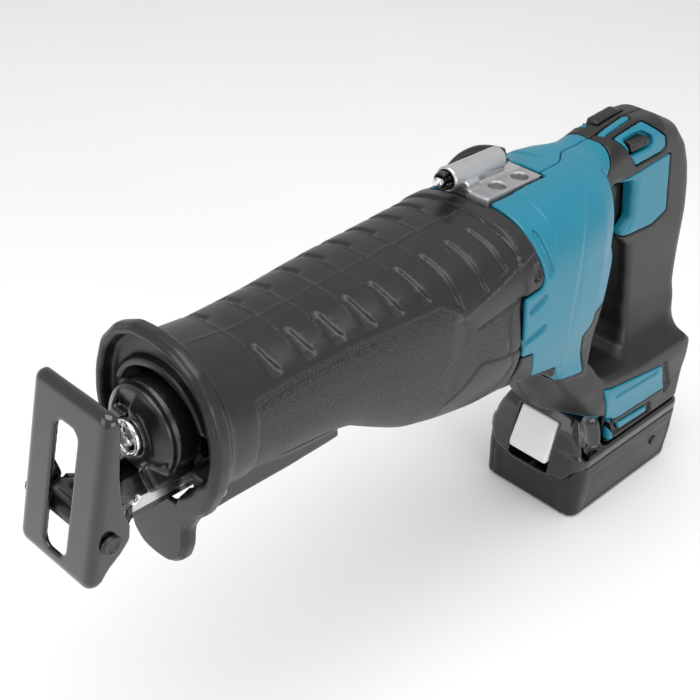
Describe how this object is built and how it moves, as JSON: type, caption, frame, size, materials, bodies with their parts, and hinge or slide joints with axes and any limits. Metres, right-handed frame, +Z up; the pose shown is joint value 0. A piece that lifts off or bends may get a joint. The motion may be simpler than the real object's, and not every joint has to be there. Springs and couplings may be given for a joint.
{
  "type": "cordless reciprocating saw",
  "caption": "Long cordless saw with a ribbed rubber boot, a slotted tilting shoe, a D-shaped rear handle with a trigger, and a slide-on battery under it.",
  "frame": {"origin": "centre of the battery's flat underside", "axes": "+X along the saw toward the blade end, +Y to the tool's left, +Z up"},
  "size_m": [0.4707, 0.1089, 0.2605],
  "materials": {
    "teal_plastic": "semi-gloss moulded",
    "overmould": "soft matte",
    "boot_rubber": "satin, grained at the sides",
    "cast_aluminium": "as cast",
    "steel": "ground",
    "chrome": "polished",
    "zinc": "bright zinc plated",
    "black_steel": "gloss black",
    "charcoal_plastic": "fine textured",
    "gloss_plastic": "glossy",
    "white_plastic": "semi-gloss",
    "winding": "lacquered wire on laminations",
    "bronze": "sintered",
    "board": "lacquered board",
    "cell_wrap": "shrink wrap"
  },
  "bodies": {
    "tool": {"clamshell_left": "teal_plastic", "clamshell_right": "teal_plastic", "overmould_left": "overmould", "overmould_right": "overmould", "housing_screw_1": "steel", "housing_screw_2": "steel", "housing_screw_3": "steel", "housing_screw_4": "steel", "housing_screw_5": "steel", "gear_housing": "cast_aluminium", "rubber_boot": "boot_rubber", "hook_bracket": "cast_aluminium", "stator": "winding", "sensor_board": "board", "rear_motor_bearing": "steel", "front_motor_bearing": "steel", "gear_bearing": "steel", "rear_slider_bush": "bronze", "front_slider_bush": "bronze", "slider_seal": "boot_rubber", "lever_pin_left": "steel", "lever_pin_right": "steel", "trigger_switch": "charcoal_plastic", "motor_controller": "charcoal_plastic", "terminal_block": "charcoal_plastic"},
    "rotor": {"rotor_shaft": "steel", "rotor_core": "steel", "cooling_fan": "charcoal_plastic"},
    "crank_gear": {"drive_gear": "steel"},
    "slider": {"slider": "steel", "blade_holder": "chrome"},
    "clamp_sleeve": {"clamp_sleeve": "black_steel"},
    "shoe_bar": {"shoe_bar": "zinc", "shoe_rivet": "steel"},
    "shoe": {"shoe_plate": "black_steel"},
    "lock_lever": {"shoe_lock_lever": "charcoal_plastic"},
    "trigger": {"trigger": "charcoal_plastic"},
    "lock_off_button": {"lock_off_button": "charcoal_plastic"},
    "mode_button": {"mode_button": "charcoal_plastic"},
    "hook": {"hook_wire": "black_steel"},
    "battery": {"battery_lower_case": "charcoal_plastic", "battery_upper_case": "gloss_plastic", "battery_board": "board", "latch_spring": "steel", "cell_1_1": "cell_wrap", "cell_1_2": "cell_wrap", "cell_1_3": "cell_wrap", "cell_1_4": "cell_wrap", "cell_1_5": "cell_wrap", "cell_2_1": "cell_wrap", "cell_2_2": "cell_wrap", "cell_2_3": "cell_wrap", "cell_2_4": "cell_wrap", "cell_2_5": "cell_wrap"},
    "battery_button": {"battery_button": "white_plastic"},
    "check_button": {"battery_check_button": "charcoal_plastic"}
  },
  "joints": [
    {"name": "crank_turn", "type": "hinge", "parent": "tool", "child": "crank_gear", "pos_m": [0.17, 0, 0.181], "axis": [0, 0, 1], "continuous": true},
    {"name": "rotor_spin", "type": "hinge", "parent": "tool", "child": "rotor", "pos_m": [0.1, 0, 0.172], "axis": [1, 0, 0], "continuous": true},
    {"name": "blade_stroke", "type": "slide", "parent": "tool", "child": "slider", "axis": [1, 0, 0], "range_m": [-0.016, 0.016]},
    {"name": "clamp_turn", "type": "hinge", "parent": "slider", "child": "clamp_sleeve", "pos_m": [0.36, 0, 0.205], "axis": [1, 0, 0], "range_deg": [0, 60], "stiffness_Nm_per_rad": 0.1},
    {"name": "shoe_extend", "type": "slide", "parent": "tool", "child": "shoe_bar", "axis": [1, 0, 0], "range_m": [0, 0.03]},
    {"name": "shoe_tilt", "type": "hinge", "parent": "shoe_bar", "child": "shoe", "pos_m": [0.402, 0, 0.18], "axis": [0, 1, 0], "range_deg": [-2, 25]},
    {"name": "lock_lever_swing", "type": "hinge", "parent": "tool", "child": "lock_lever", "pos_m": [0.342, 0, 0.174], "axis": [0, -1, 0], "range_deg": [0, 60]},
    {"name": "trigger_pull", "type": "slide", "parent": "tool", "child": "trigger", "axis": [-1, 0, 0], "range_m": [0, 0.006], "stiffness_N_per_m": 800},
    {"name": "lock_off_push", "type": "slide", "parent": "tool", "child": "lock_off_button", "axis": [0, -1, 0], "range_m": [-0.003, 0.003], "stiffness_N_per_m": 600},
    {"name": "mode_press", "type": "slide", "parent": "tool", "child": "mode_button", "axis": [0, 0, -1], "range_m": [0, 0.0012], "stiffness_N_per_m": 600},
    {"name": "hook_swing", "type": "hinge", "parent": "tool", "child": "hook", "pos_m": [0.14, -0.013, 0.254], "axis": [-1, 0, 0], "range_deg": [0, 100]},
    {"name": "battery_slide", "type": "slide", "parent": "tool", "child": "battery", "axis": [1, 0, 0], "range_m": [0, 0.095]},
    {"name": "battery_button_press", "type": "slide", "parent": "battery", "child": "battery_button", "axis": [0, 0, -1], "range_m": [0, 0.0025], "stiffness_N_per_m": 600, "deforming": ["latch_spring"]},
    {"name": "check_press", "type": "slide", "parent": "battery", "child": "check_button", "axis": [0, -1, 0], "range_m": [0, 0.001], "stiffness_N_per_m": 600}
  ],
  "couplings": [
    {"joint": "rotor_spin", "follows": "crank_turn", "ratio": 3}
  ]
}
